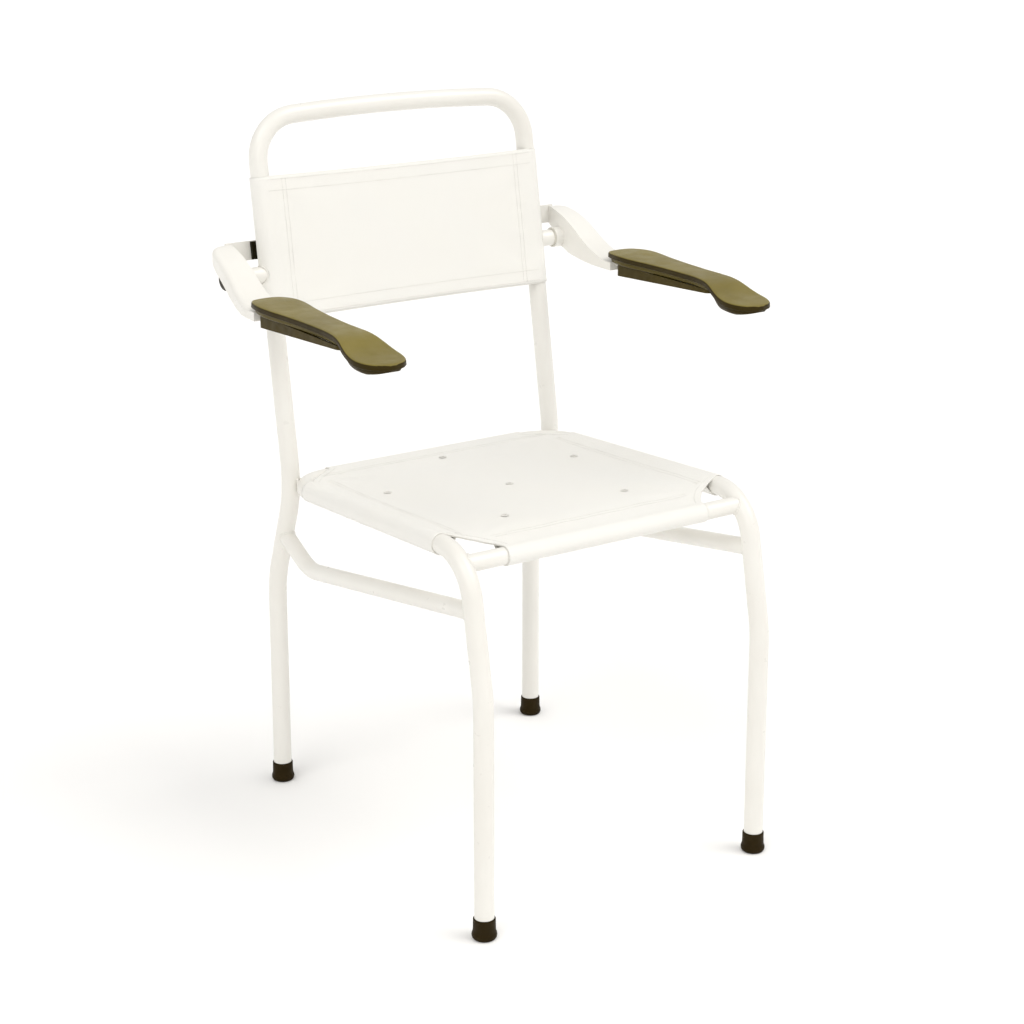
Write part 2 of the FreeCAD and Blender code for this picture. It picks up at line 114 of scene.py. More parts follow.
def coords(t, kind="Object", scale=None):
    c = nn(t, "ShaderNodeTexCoord")
    if scale is None:
        return c.outputs[kind]
    m = nn(t, "ShaderNodeMapping")
    m.inputs["Scale"].default_value = scale
    t.links.new(c.outputs[kind], m.inputs["Vector"])
    return m.outputs["Vector"]


def noise(t, vec, scale, detail=4.0, rough=0.55):
    n = nn(t, "ShaderNodeTexNoise")
    n.inputs["Scale"].default_value = scale
    n.inputs["Detail"].default_value = detail
    n.inputs["Roughness"].default_value = rough
    t.links.new(vec, n.inputs["Vector"])
    return n.outputs["Fac"]


def remap(t, v, a, b, c, d):
    n = nn(t, "ShaderNodeMapRange")
    n.inputs["From Min"].default_value = a
    n.inputs["From Max"].default_value = b
    n.inputs["To Min"].default_value = c
    n.inputs["To Max"].default_value = d
    t.links.new(v, n.inputs["Value"])
    return n.outputs["Result"]


def calc(t, op, a, b=None):
    n = nn(t, "ShaderNodeMath", operation=op)
    for i, v in enumerate((a, b)):
        if v is None:
            continue
        if isinstance(v, (int, float)):
            n.inputs[i].default_value = v
        else:
            t.links.new(v, n.inputs[i])
    return n.outputs[0]


def mix(t, fac, a, b):
    n = nn(t, "ShaderNodeMix", data_type="RGBA")
    t.links.new(fac, n.inputs["Factor"])
    for i, v in (("A", a), ("B", b)):
        s = [q for q in n.inputs if q.name == i and q.type == "RGBA"][0]
        if isinstance(v, tuple):
            s.default_value = (*v, 1)
        else:
            t.links.new(v, s)
    return [q for q in n.outputs if q.type == "RGBA"][0]


def bump(t, height, strength, dist, after=None):
    n = nn(t, "ShaderNodeBump")
    n.inputs["Strength"].default_value = strength
    n.inputs["Distance"].default_value = dist
    t.links.new(height, n.inputs["Height"])
    if after is not None:
        t.links.new(after, n.inputs["Normal"])
    return n.outputs["Normal"]


def edge_wear(t, lo=0.52, hi=0.60):
    g = nn(t, "ShaderNodeNewGeometry")
    return remap(t, g.outputs["Pointiness"], lo, hi, 0.0, 1.0)


def paint_mat():
    m, t, b = new_mat("powder_coat", (0.83, 0.81, 0.77), 0.33)
    b.inputs["Coat Weight"].default_value = 0.22
    b.inputs["Coat Roughness"].default_value = 0.22
    v = coords(t)
    cloud = noise(t, v, 7.0, 3.0)
    fine = noise(t, v, 60.0, 5.0)
    c = mix(t, remap(t, cloud, 0.35, 0.7, 0.0, 1.0), (0.80, 0.785, 0.74), (0.765, 0.745, 0.695))
    scuff = remap(t, noise(t, coords(t, scale=(1, 1, 0.25)), 140.0, 7.0, 0.7), 0.66, 0.74, 0.0, 0.30)
    c = mix(t, scuff, c, (0.62, 0.59, 0.53))
    t.links.new(c, b.inputs["Base Color"])
    t.links.new(remap(t, fine, 0.3, 0.7, 0.27, 0.42), b.inputs["Roughness"])
    peel = noise(t, v, 620.0, 2.0)
    n1 = bump(t, peel, 0.22, 0.00035)
    t.links.new(bump(t, noise(t, v, 190.0, 2.0), 0.10, 0.0006, n1), b.inputs["Normal"])
    return m


def cloth_mat(name, base, weave_gap_shade, pitch=0.0013, strength=0.55):
    m, t, b = new_mat(name, base, 0.72)
    b.inputs["Sheen Weight"].default_value = 0.18
    b.inputs["Sheen Roughness"].default_value = 0.45
    b.inputs["Specular IOR Level"].default_value = 0.35
    uv = nn(t, "ShaderNodeUVMap", uv_map="cloth")
    sep = nn(t, "ShaderNodeSeparateXYZ")
    t.links.new(uv.outputs["UV"], sep.inputs["Vector"])
    wob = noise(t, uv.outputs["UV"], 90.0, 2.0)
    k = math.pi / pitch
    u = calc(t, "ADD", calc(t, "MULTIPLY", sep.outputs["X"], k), calc(t, "MULTIPLY", wob, 0.9))
    w = calc(t, "ADD", calc(t, "MULTIPLY", sep.outputs["Y"], k), calc(t, "MULTIPLY", wob, 0.9))
    su, sw = calc(t, "SINE", u), calc(t, "SINE", w)
    au, aw = calc(t, "ABSOLUTE", su), calc(t, "ABSOLUTE", sw)
    over = calc(t, "GREATER_THAN", calc(t, "MULTIPLY", su, sw), 0.0)
    under = calc(t, "SUBTRACT", 1.0, over)
    h = calc(t, "ADD", calc(t, "MULTIPLY", calc(t, "POWER", au, 0.6), over),
             calc(t, "MULTIPLY", calc(t, "POWER", aw, 0.6), under))
    slub = noise(t, uv.outputs["UV"], 420.0, 4.0)
    blotch = noise(t, uv.outputs["UV"], 9.0, 5.0)
    # painted shade: the colour goes toward the darker yarn colour where the weave height is low, in the gaps between
    # threads
    c = mix(t, remap(t, h, 0.15, 0.9, 1.0, 0.0), base, weave_gap_shade)
    c = mix(t, remap(t, blotch, 0.38, 0.72, 0.0, 0.45), c, tuple(q * f for q, f in zip(base, (0.965, 0.955, 0.93))))
    t.links.new(c, b.inputs["Base Color"])
    t.links.new(remap(t, slub, 0.3, 0.7, 0.62, 0.82), b.inputs["Roughness"])
    n1 = bump(t, h, strength, 0.00028)
    n2 = bump(t, slub, 0.25, 0.0002, n1)
    t.links.new(bump(t, noise(t, uv.outputs["UV"], 22.0, 3.0), 0.16, 0.0016, n2), b.inputs["Normal"])
    return m


def rubber_mat(name, col, rough=0.6, grain=900.0, dust=0.5, spec=0.4):
    m, t, b = new_mat(name, col, rough)
    b.inputs["Specular IOR Level"].default_value = spec
    b.inputs["Specular Tint"].default_value = (1.0, 0.86, 0.50, 1) if spec < 0.3 else (1, 1, 1, 1)
    v = coords(t)
    c = mix(t, remap(t, noise(t, v, 45.0, 5.0), 0.35, 0.75, 0.0, 1.0), col, tuple(q * 0.7 for q in col))
    c = mix(t, remap(t, noise(t, v, 160.0, 8.0, 0.7), 0.6, 0.8, 0.0, dust), c,
            tuple(min(1, q * 1.9 + 0.012) for q in col))
    t.links.new(c, b.inputs["Base Color"])
    t.links.new(remap(t, noise(t, v, 80.0, 4.0), 0.3, 0.7, rough - 0.1, rough + 0.12), b.inputs["Roughness"])
    n1 = bump(t, noise(t, v, grain, 2.0), 0.25, 0.0002)
    t.links.new(n1, b.inputs["Normal"])
    return m


def pad_mat(name, base, deep, line, worn, spec=0.30):
    m, t, b = new_mat(name, base, 0.44)
    b.inputs["Specular IOR Level"].default_value = spec
    b.inputs["Sheen Weight"].default_value = 0.10 if spec > 0.2 else 0.0
    b.inputs["Sheen Roughness"].default_value = 0.35
    b.inputs["Specular Tint"].default_value = (1.0, 0.93, 0.62, 1)
    b.inputs["Sheen Tint"].default_value = (1.0, 0.9, 0.55, 1)
    v = coords(t)
    c = mix(t, remap(t, noise(t, v, 14.0, 4.0), 0.35, 0.7, 0.0, 1.0), base, deep)
    vor = nn(t, "ShaderNodeTexVoronoi", feature="DISTANCE_TO_EDGE")
    vor.inputs["Scale"].default_value = 780.0
    t.links.new(v, vor.inputs["Vector"])
    grain = remap(t, vor.outputs["Distance"], 0.0, 0.16, 0.0, 1.0)
    # painted shade: the colour goes toward the darker line colour in the low creases between grain cells
    c = mix(t, remap(t, grain, 0.0, 1.0, 0.35, 0.0), c, line)
    c = mix(t, remap(t, noise(t, v, 210.0, 8.0, 0.72), 0.66, 0.8, 0.0, 0.30), c, worn)
    t.links.new(c, b.inputs["Base Color"])
    t.links.new(remap(t, noise(t, v, 55.0, 5.0), 0.3, 0.7, 0.34, 0.50), b.inputs["Roughness"])
    n1 = bump(t, grain, 0.30, 0.00022)
    t.links.new(bump(t, noise(t, v, 130.0, 3.0), 0.12, 0.0006, n1), b.inputs["Normal"])
    return m


def metal_mat(name, col, rough):
    m, t, b = new_mat(name, col, rough)
    b.inputs["Metallic"].default_value = 1.0
    v = coords(t)
    c = mix(t, remap(t, noise(t, v, 120.0, 5.0), 0.3, 0.7, 0.0, 1.0), col, tuple(q * 0.78 for q in col))
    t.links.new(c, b.inputs["Base Color"])
    t.links.new(remap(t, noise(t, v, 300.0, 4.0), 0.3, 0.7, rough - 0.08, rough + 0.15), b.inputs["Roughness"])
    t.links.new(bump(t, noise(t, v, 900.0, 2.0), 0.15, 0.0001), b.inputs["Normal"])
    return m


M = {
    "paint": paint_mat(),
    "cloth": cloth_mat("sling_weave", (0.875, 0.865, 0.83), (0.68, 0.665, 0.62)),
    "hem": cloth_mat("sling_hem_weave", (0.86, 0.85, 0.81), (0.66, 0.645, 0.60)),
    "thread": rubber_mat("thread", (0.80, 0.785, 0.74), 0.6, 2500.0, 0.05),
    "rubber": rubber_mat("foot_rubber", (0.017, 0.0095, 0.002), 0.62, 700.0, 0.22, 0.16),
    "stop": rubber_mat("stop_rubber", (0.010, 0.008, 0.003), 0.6, 900.0, 0.25, 0.16),
    "cap": rubber_mat("cap_plastic", (0.012, 0.009, 0.003), 0.42, 1400.0, 0.2, 0.20),
    "carrier": rubber_mat("carrier_plastic", (0.052, 0.037, 0.006), 0.48, 1300.0, 0.2, 0.16),
    "nylon": rubber_mat("bush_nylon", (0.72, 0.70, 0.62), 0.42, 1500.0, 0.05),
    "eyelet": rubber_mat("eyelet_plastic", (0.76, 0.745, 0.70), 0.38, 1500.0, 0.05),
    # pad skin in three copies of one material picked by face direction: a lighter copy for the upward top, and darker
    # copies carrying painted shade for the rear under-walls and for the rim sides and underside
    "pad": pad_mat("pad_skin", (0.215, 0.172, 0.040), (0.160, 0.126, 0.026), (0.085, 0.064, 0.012), (0.30, 0.25, 0.10)),
    "pad_painted_half_shade": pad_mat("pad_skin_painted_half_shade", (0.105, 0.080, 0.014), (0.080, 0.060, 0.010), (0.045, 0.033, 0.005), (0.14, 0.11, 0.03), 0.16),
    "pad_painted_shade": pad_mat("pad_skin_painted_shade", (0.034, 0.022, 0.003), (0.026, 0.017, 0.002), (0.014, 0.009, 0.001), (0.06, 0.045, 0.010), 0.14),
    "zinc": metal_mat("zinc_plate", (0.62, 0.62, 0.60), 0.34),
    "brass": metal_mat("insert_brass", (0.72, 0.52, 0.24), 0.30),
}


def skin_of(name):
    if name.startswith("foot_discs") or name.startswith(("pivot_washer", "pivot_nut", "pad_screws")):
        return "zinc"
    if name.startswith("foot_"):
        return "rubber"
    for k, v in (("stop_bumper", "stop"), ("pivot_cap", "cap"), ("pad_carrier", "carrier"), ("arm_pad", "pad"),
                 ("pivot_bush", "nylon"), ("drain_eyelets", "eyelet"), ("pad_inserts", "brass")):
        if name.startswith(k):
            return v
    if name.endswith("_sling"):
        return "cloth"
    return "paint"


for name, o in nodes.items():
    o.data.materials.clear()
    o.data.materials.append(M[skin_of(name)])


# -------------------------------------------------------------------- meshes
def make(name, verts, faces, mat, uvs=None, body="frame", smooth_shade=True):
    me = bpy.data.meshes.new(name)
    me.from_pydata([tuple(map(float, v)) for v in verts], [], [tuple(map(int, f)) for f in faces])
    me.update()
    if uvs is not None:
        layer = me.uv_layers.new(name="cloth")
        idx = np.zeros(len(me.loops), np.int32)
        me.loops.foreach_get("vertex_index", idx)
        layer.data.foreach_set("uv", np.asarray(uvs, np.float32)[idx].ravel())
    if smooth_shade:
        me.polygons.foreach_set("use_smooth", [True] * len(me.polygons))
    me.materials.append(mat)
    o = bpy.data.objects.new(name, me)
    bpy.context.scene.collection.objects.link(o)
    return o


def clean(o, flip=None):
    bm = bmesh.new()
    bm.from_mesh(o.data)
    bmesh.ops.remove_doubles(bm, verts=bm.verts, dist=1e-6)
    bmesh.ops.delete(bm, geom=[v for v in bm.verts if not v.link_faces], context="VERTS")
    bmesh.ops.recalc_face_normals(bm, faces=bm.faces)
    bm.to_mesh(o.data)
    bm.free()


def apply_mods(o):
    dg = bpy.context.evaluated_depsgraph_get()
    me = bpy.data.meshes.new_from_object(o.evaluated_get(dg), preserve_all_data_layers=True, depsgraph=dg)
    old = o.data
    o.modifiers.clear()
    o.data = me
    bpy.data.meshes.remove(old)


def thicken(o, t, even=True):
    m = o.modifiers.new("t", "SOLIDIFY")
    m.thickness = t
    m.offset = 0.0
    m.use_even_offset = even
    apply_mods(o)


def grid(name, P, UV, keep, mat):
    """P rows x cols x 3 in mm; keep rows-1 x cols-1 says which cells exist."""
    r, c = P.shape[:2]
    used = np.zeros((r, c), bool)
    faces = []
    for i in range(r - 1):
        for j in range(c - 1):
            if keep[i, j]:
                faces.append((i * c + j, i * c + j + 1, (i + 1) * c + j + 1, (i + 1) * c + j))
                used[i:i + 2, j:j + 2] = True
    ids = -np.ones(r * c, int)
    flat = np.flatnonzero(used.ravel())
    ids[flat] = np.arange(len(flat))
    V = out(P.reshape(-1, 3)[flat])
    F = ids[np.array(faces)]
    return make(name, V, F, mat, UV.reshape(-1, 2)[flat] * MM)


def area_of(P, keep):
    d1 = P[1:, 1:] - P[:-1, :-1]
    d2 = P[1:, :-1] - P[:-1, 1:]
    a = 0.5 * np.linalg.norm(np.cross(d1, d2), axis=2)
    return float((a * keep).sum()) * 1e-6


def cut(o, cutters):
    for i, (p, d, r, h) in enumerate(cutters):
        bpy.ops.mesh.primitive_cylinder_add(vertices=40, radius=r * MM, depth=h * MM)
        c = bpy.context.active_object
        q = Vector(tuple(d)).to_track_quat("Z", "Y")
        c.matrix_world = Matrix.Translation(Vector(tuple(out(p)))) @ q.to_matrix().to_4x4()
        bpy.context.view_layer.update()
        m = o.modifiers.new("c", "BOOLEAN")
        m.operation = "DIFFERENCE"
        m.object = c
        m.solver = "EXACT"
        apply_mods(o)
        bpy.data.objects.remove(c)


def tangent_exit(px, pz, r):
    """Angle (from +z toward +x, going round) at which a wrapped sheet leaves the circle for the point."""
    D = math.hypot(px, pz)
    return (math.atan2(px, pz) % (2 * math.pi)) - math.acos(min(1.0, r / D))


# ------------------------------------------------------------------ seat cloth
FR_S, FR_OFF, FR_R = 4.03, -16.35, 12.0      # front rail centre in seat terms, cloth radius
c_keys = [(6, -4.51), (16, -2.9), (30, -0.3), (45, 2.1), (60, 3.7), (84, 4.25), (110, 4.5), (165, 4.35), (220, 4.3),
          (275, 5.2), (330, 6.5), (400, 9.9), (434, 13.04)]
edge_keys = [(2, 150.0), (6, 151.0), (16, 157.0), (34, 174.0), (46, 195.0), (50, 207.5)]
rear_keys = [(384, 207.5), (404, 192.5), (422, 171.0), (431, 158.5), (434, 156.0)]


def seat_limit(s):
    s = np.asarray(s, float)
    a = np.interp(s, [k[0] for k in edge_keys], [k[1] for k in edge_keys])
    b = np.interp(s, [k[0] for k in rear_keys], [k[1] for k in rear_keys])
    return np.where(s < 50, a, np.where(s > 384, b, 207.5))


puck = rng.uniform(0, 2 * math.pi, 8)


def seat_off(x, s):
    x, s = np.broadcast_arrays(np.asarray(x, float), np.asarray(s, float))
    c = smooth(c_keys, s)
    g = np.clip((np.abs(x) - 150.0) / 57.5, 0, 1.05) ** 2
    o = c + (13.04 - c) * g * step(8, 55, s)
    # puckers beside the sleeve seams, and slack ripples that run from the corners
    edge = np.exp(-((np.abs(x) - 184.0) / 8.0) ** 2) * step(55, 75, s) * (1 - step(362, 380, s))
    side = np.sign(x)
    o = o + 0.30 * edge * (np.sin(s / 2.15 + puck[0] + side) * 0.5 + np.sin(s / 3.7 + puck[1] * side)) * 0.7
    for k, (cx, cs) in enumerate(((-170, 40), (170, 40), (-185, 400), (185, 400))):
        r = np.hypot(x - cx, s - cs)
        a = np.arctan2(s - cs, x - cx)
        o = o + 0.45 * np.exp(-((r - 46) / 30.0) ** 2) * np.sin(9 * a + puck[2 + k])
    o = o + 0.35 * np.exp(-((s - 36) / 16.0) ** 2) * np.sin(x / 10.5 + puck[6] + 0.6 * np.sin(x / 37)) * step(2, 20, 150 - np.abs(x))
    return o


def seat_pt(x, s, extra=0.0):
    return seat3(x, s, seat_off(x, s) + extra)


def build_seat():
    pan_s = np.unique(np.concatenate([np.linspace(6, 50, 19), np.linspace(50, 384, 96), np.linspace(384, 434, 20)]))
    a = np.linspace(-1, 1, 121)
    th0, st_x = math.radians(15), 188.0
    nw, nf = 22, 5
    # side wrap columns (right side); mirrored for the left
    px, pz = st_x - HALF, 3.6
    th1 = tangent_exit(px, pz, R_MID)
    th = np.linspace(-th0, th1, nw)[1:]
    # front wrap rows
    fx, fz = 30.0, float(smooth(c_keys, 30.0)) - 1.5
    f0 = math.radians(9.3)
    f1 = tangent_exit(-(fx - FR_S), fz - FR_OFF, FR_R)
    f1 = f1 if f1 > math.pi / 2 else f1 + 2 * math.pi
    ph = np.linspace(-f0, f1, nw)[1:]
    rx = S_LEN - 23.0
    rz = float(smooth(c_keys, rx)) - 1.5
    r0 = math.radians(15)
    r1 = tangent_exit(rx - S_LEN, rz, R_MID)
    rh = np.linspace(-r0, r1, nw)[1:]
    n_side, n_end = len(th) + nf + nf, len(ph) + nf + nf
    rows = n_end * 2 + len(pan_s)
    cols = n_side * 2 + len(a)
    P = np.zeros((rows, cols, 3))
    UV = np.zeros((rows, cols, 2))
    keep = np.zeros((rows - 1, cols - 1), bool)
    r_a, r_b, c_a, c_b = n_end, n_end + len(pan_s), n_side, n_side + len(a)
    lim = seat_limit(pan_s)
    X = lim[:, None] * a[None, :]
    S = np.repeat(pan_s[:, None], len(a), 1)
    P[r_a:r_b, c_a:c_b] = seat_pt(X, S)
    UV[r_a:r_b, c_a:c_b, 0] = X
    UV[r_a:r_b, c_a:c_b, 1] = S
    keep[r_a:r_b - 1, c_a:c_b - 1] = True
    # side sleeves
    i0 = int(np.argmin(abs(pan_s - 50)))
    i1 = int(np.argmin(abs(pan_s - 384)))
    for side in (1, -1):
        for k in range(n_side):
            if k < len(th):
                x = HALF + R_MID * math.sin(th[k])
                o = np.full(i1 - i0 + 1, R_MID * math.cos(th[k]))
                u = 207.5 + R_MID * (th[k] + th0)
            else:
                ex, ez = HALF + R_MID * math.sin(th1), R_MID * math.cos(th1)
                ss = pan_s[i0:i1 + 1]
                if k < len(th) + nf:
                    w = (k - len(th) + 1) / nf
                    x = ex + (st_x - ex) * w
                    tgt = seat_off(np.full(len(ss), st_x), ss) - 1.5
                    o = ez + (tgt - ez) * w
                else:
                    w = (k - len(th) - nf + 1) / nf
                    x = st_x - 12.0 * w
                    o = seat_off(np.full(len(ss), x), ss) - 1.5
                u = 207.5 + R_MID * (th1 + th0) + (k - len(th) + 1) * 4.5
            ss = pan_s[i0:i1 + 1]
            j = c_b + k if side > 0 else c_a - 1 - k
            P[r_a + i0:r_a + i1 + 1, j] = seat3(np.full(len(ss), side * x), ss, o)
            UV[r_a + i0:r_a + i1 + 1, j, 0] = side * u
            UV[r_a + i0:r_a + i1 + 1, j, 1] = ss
            if side > 0:
                keep[r_a + i0:r_a + i1, j - 1] = True
            else:
                keep[r_a + i0:r_a + i1, j] = True
    # front and rear wraps
    for end in (0, 1):
        hx = (151.0 if end == 0 else 156.0) * a
        angs, t_end = (ph, f1) if end == 0 else (rh, r1)
        for k in range(n_end):
            if k < len(angs):
                if end == 0:
                    s = FR_S - FR_R * math.sin(angs[k])
                    o = FR_OFF + FR_R * math.cos(angs[k])
                    v = 6 - FR_R * (angs[k] + f0)
                else:
                    s = S_LEN + R_MID * math.sin(angs[k])
                    o = R_MID * math.cos(angs[k])
                    v = 434 + R_MID * (angs[k] + r0)
                ss, oo = np.full(len(a), s), np.full(len(a), o)
            else:
                if end == 0:
                    es, eo, ts = FR_S - FR_R * math.sin(f1), FR_OFF + FR_R * math.cos(f1), fx
                    v = 6 - FR_R * (f1 + f0) - (k - len(angs) + 1) * 4.5
                else:
                    es, eo, ts = S_LEN + R_MID * math.sin(r1), R_MID * math.cos(r1), rx
                    v = 434 + R_MID * (r1 + r0) + (k - len(angs) + 1) * 4.5
                if k < len(angs) + nf:
                    w = (k - len(angs) + 1) / nf
                    s = es + (ts - es) * w
                    tgt = seat_off(hx, np.full(len(a), ts)) - 1.5
                    oo = eo + (tgt - eo) * w
                else:
                    w = (k - len(angs) - nf + 1) / nf
                    s = ts + (12.0 if end == 0 else -12.0) * w
                    oo = seat_off(hx, np.full(len(a), s)) - 1.5
                ss = np.full(len(a), s)
            i = r_a - 1 - k if end == 0 else r_b + k
            P[i, c_a:c_b] = seat3(hx, ss, oo)
            UV[i, c_a:c_b, 0] = hx
            UV[i, c_a:c_b, 1] = v
            if end == 0:
                keep[i, c_a:c_b - 1] = True
            else:
                keep[i - 1, c_a:c_b - 1] = True
    flat = area_of(P, keep)
    o = grid("seat_cloth", P, UV, keep, M["cloth"])
    thicken(o, 0.0013)
    holes = [(0.0, 393.0), (148.0, 288.0), (-148.0, 288.0), (0.0, 223.0), (92.0, 92.0), (-92.0, 92.0)]
    cut(o, [(seat3(x, s, 4.0), S_UP, 3.62, 40.0) for x, s in holes])
    width = 2 * (207.5 + R_MID * (th1 + th0) + 12.0 + float(np.hypot(HALF + R_MID * math.sin(th1) - st_x, 8)))
    length = 428 + FR_R * (f1 + f0) + R_MID * (r1 + r0) + 24 + 40
    return o, flat, width * MM, length * MM


# ----------------------------------------------------------------- small parts
def stitches(name, lines, gap=3.6, length=2.9, rad=0.42, mat=None):
    """lines: list of (N x 3 points mm, N x 3 normals). One thread capsule per stitch."""
    ring = 6
    base = []
    prof = [(-1, 0.0), (-0.8, 0.7), (-0.3, 1.0), (0.3, 1.0), (0.8, 0.7), (1, 0.0)]
    for t, r in prof:
        for q in range(ring):
            an = 2 * math.pi * q / ring
            base.append((t, r * math.cos(an), r * math.sin(an)))
    base = np.array(base)
    bf = []
    for i in range(len(prof) - 1):
        for q in range(ring):
            bf.append((i * ring + q, i * ring + (q + 1) % ring, (i + 1) * ring + (q + 1) % ring, (i + 1) * ring + q))
    V, F, n = [], [], 0
    for pts, nor in lines:
        pts, nor = np.asarray(pts, float), np.asarray(nor, float)
        d = np.r_[0, np.cumsum(np.linalg.norm(np.diff(pts, axis=0), axis=1))]
        count = int(d[-1] / gap)
        for k in range(count):
            m = (k + 0.5) * d[-1] / count
            a = np.array([np.interp(m - length / 2, d, pts[:, i]) for i in range(3)])
            b = np.array([np.interp(m + length / 2, d, pts[:, i]) for i in range(3)])
            nv = np.array([np.interp(m, d, nor[:, i]) for i in range(3)])
            c = (a + b) / 2 + rng.normal(0, 0.05, 3)
            t = (b - a) / max(np.linalg.norm(b - a), 1e-9)
            nv = nv - t * (nv @ t)
            nv /= np.linalg.norm(nv)
            w = np.cross(t, nv)
            V.append(c + base[:, :1] * t * length / 2 + base[:, 1:2] * nv * rad * 0.8 + base[:, 2:] * w * rad)
            F += [tuple(n + q for q in f) for f in bf]
            n += len(base)
    o = make(name, out(np.vstack(V)), F, mat or M["thread"])
    clean(o)
    return o


def strip(name, lines, t, mat, body="frame"):
    """Ribbon through rows of points, each row the same length, thickened."""
    P = np.asarray(lines, float)
    r, c = P.shape[:2]
    UV = np.zeros((r, c, 2))
    UV[..., 0] = np.cumsum(np.r_[0, np.linalg.norm(np.diff(P[:, 0], axis=0), axis=1)])[:, None]
    UV[..., 1] = np.cumsum(np.r_[0, np.linalg.norm(np.diff(P[0], axis=0), axis=1)])[None, :]
    o = grid(name, P, UV, np.ones((r - 1, c - 1), bool), mat)
    thicken(o, t, even=False)
    return o


def tube_along(name, pts, rad, mat, closed=False, seg=10, ripple=0.0, freq=1.0):
    """Round bead along points (mm)."""
    pts = np.asarray(pts, float)
    n = len(pts)
    nxt = np.roll(pts, -1, 0) if closed else np.vstack([pts[1:], pts[-1:]])
    prv = np.roll(pts, 1, 0) if closed else np.vstack([pts[:1], pts[:-1]])
    t = nxt - prv
    t /= np.linalg.norm(t, axis=1, keepdims=True)
    ref = np.array([0.3, 0.2, 0.93])
    V = []
    a = np.cross(t[0], ref)
    a /= np.linalg.norm(a)
    for i in range(n):
        a = a - t[i] * (a @ t[i])
        a /= np.linalg.norm(a)
        b = np.cross(t[i], a)
        r = rad * (1 + ripple * math.sin(i * freq) + ripple * 0.5 * math.sin(i * freq * 0.37 + 1))
        if not closed and i in (0, n - 1):
            r *= 0.35
        for q in range(seg):
            an = 2 * math.pi * q / seg
            V.append(pts[i] + r * (math.cos(an) * a + math.sin(an) * b))
    F = []
    for i in range(n if closed else n - 1):
        j = (i + 1) % n
        off = 0
        if closed and j == 0:
            # the frame turned along the loop, so match the nearest vertex
            d = [np.linalg.norm(np.array(V[q]) - np.array(V[i * seg])) for q in range(seg)]
            off = int(np.argmin(d))
        for q in range(seg):
            F.append((i * seg + q, i * seg + (q + 1) % seg, j * seg + (q + 1 + off) % seg, j * seg + (q + off) % seg))
    if not closed:
        F.append(tuple(range(seg))[::-1])
        F.append(tuple((n - 1) * seg + q for q in range(seg)))
    o = make(name, out(np.array(V)), F, mat)
    clean(o)
    return o


def cope_loop(p0, d, r, q0, qd, R, n=72):
    """Where a tube (p0, d, r) meets the outside of a tube (q0, qd, R); d points toward the second tube."""
    p0, d, q0, qd = (np.asarray(v, float) for v in (p0, d, q0, qd))
    d = d / np.linalg.norm(d)
    qd = qd / np.linalg.norm(qd)
    a = np.cross(d, [0.13, 0.21, 1.0])
    a /= np.linalg.norm(a)
    b = np.cross(d, a)
    pts = []
    for k in range(n):
        an = 2 * math.pi * k / n
        o = p0 + r * (math.cos(an) * a + math.sin(an) * b)
        w = o - q0
        dp, wp = d - qd * (d @ qd), w - qd * (w @ qd)
        A, B, C = dp @ dp, 2 * dp @ wp, wp @ wp - R * R
        D = B * B - 4 * A * C
        D = max(D, 0.0)
        pts.append(o + d * ((-B - math.sqrt(D)) / (2 * A)))
    return np.array(pts)


# ------------------------------------------------------------- seat assembly
seat, seat_area, seat_w, seat_l = build_seat()
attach(seat, "frame")
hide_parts("seat_sling")


def seat_line(xs, ss, extra):
    xs, ss = np.broadcast_arrays(np.asarray(xs, float), np.asarray(ss, float))
    p = seat_pt(xs, ss, extra)
    return p, np.repeat(S_UP[None], len(p), 0)


lines = []
tt = np.linspace(0, 1, 200)
for sx in (-1, 1):
    for xx in (186.2, 180.6):
        lines.append(seat_line(sx * np.full(200, xx), 52 + tt * 330, 0.78))
        lines.append(seat_line(sx * np.full(200, xx), 52 + tt * 330, -2.35))
for s0, half in ((31.0, 146.0), (37.0, 149.0), (413.0, 176.0), (407.0, 182.0)):
    lines.append(seat_line((tt * 2 - 1) * half, np.full(200, s0), 0.78))
    lines.append(seat_line((tt * 2 - 1) * min(half, 148.0), np.full(200, s0), -2.35))
# along the notched corners, and back-tacks at the sleeve ends
for sx in (-1, 1):
    for keys in (edge_keys, rear_keys):
        kx = np.array([k[1] for k in keys]) - 6.5
        ks = np.array([k[0] for k in keys])
        ks = ks + (5.5 if keys is edge_keys else -5.5)
        q = np.linspace(0, 1, 120)
        ds = np.r_[0, np.cumsum(np.hypot(np.diff(kx), np.diff(ks)))]
        xs = np.interp(q * ds[-1], ds, kx)
        ss = np.interp(q * ds[-1], ds, ks)
        lines.append(seat_line(sx * xs, ss, 0.78))
    for s0 in (55.5, 378.5):
        zz = np.linspace(0, 1, 60)
        lines.append(seat_line(sx * (178.5 + 10 * zz), np.full(60, s0), 0.8))
        lines.append(seat_line(sx * (178.5 + 10 * zz), np.full(60, s0 + 2.2), 0.8))
seat_thread = stitches("seat_stitching", lines)
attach(seat_thread, "frame")

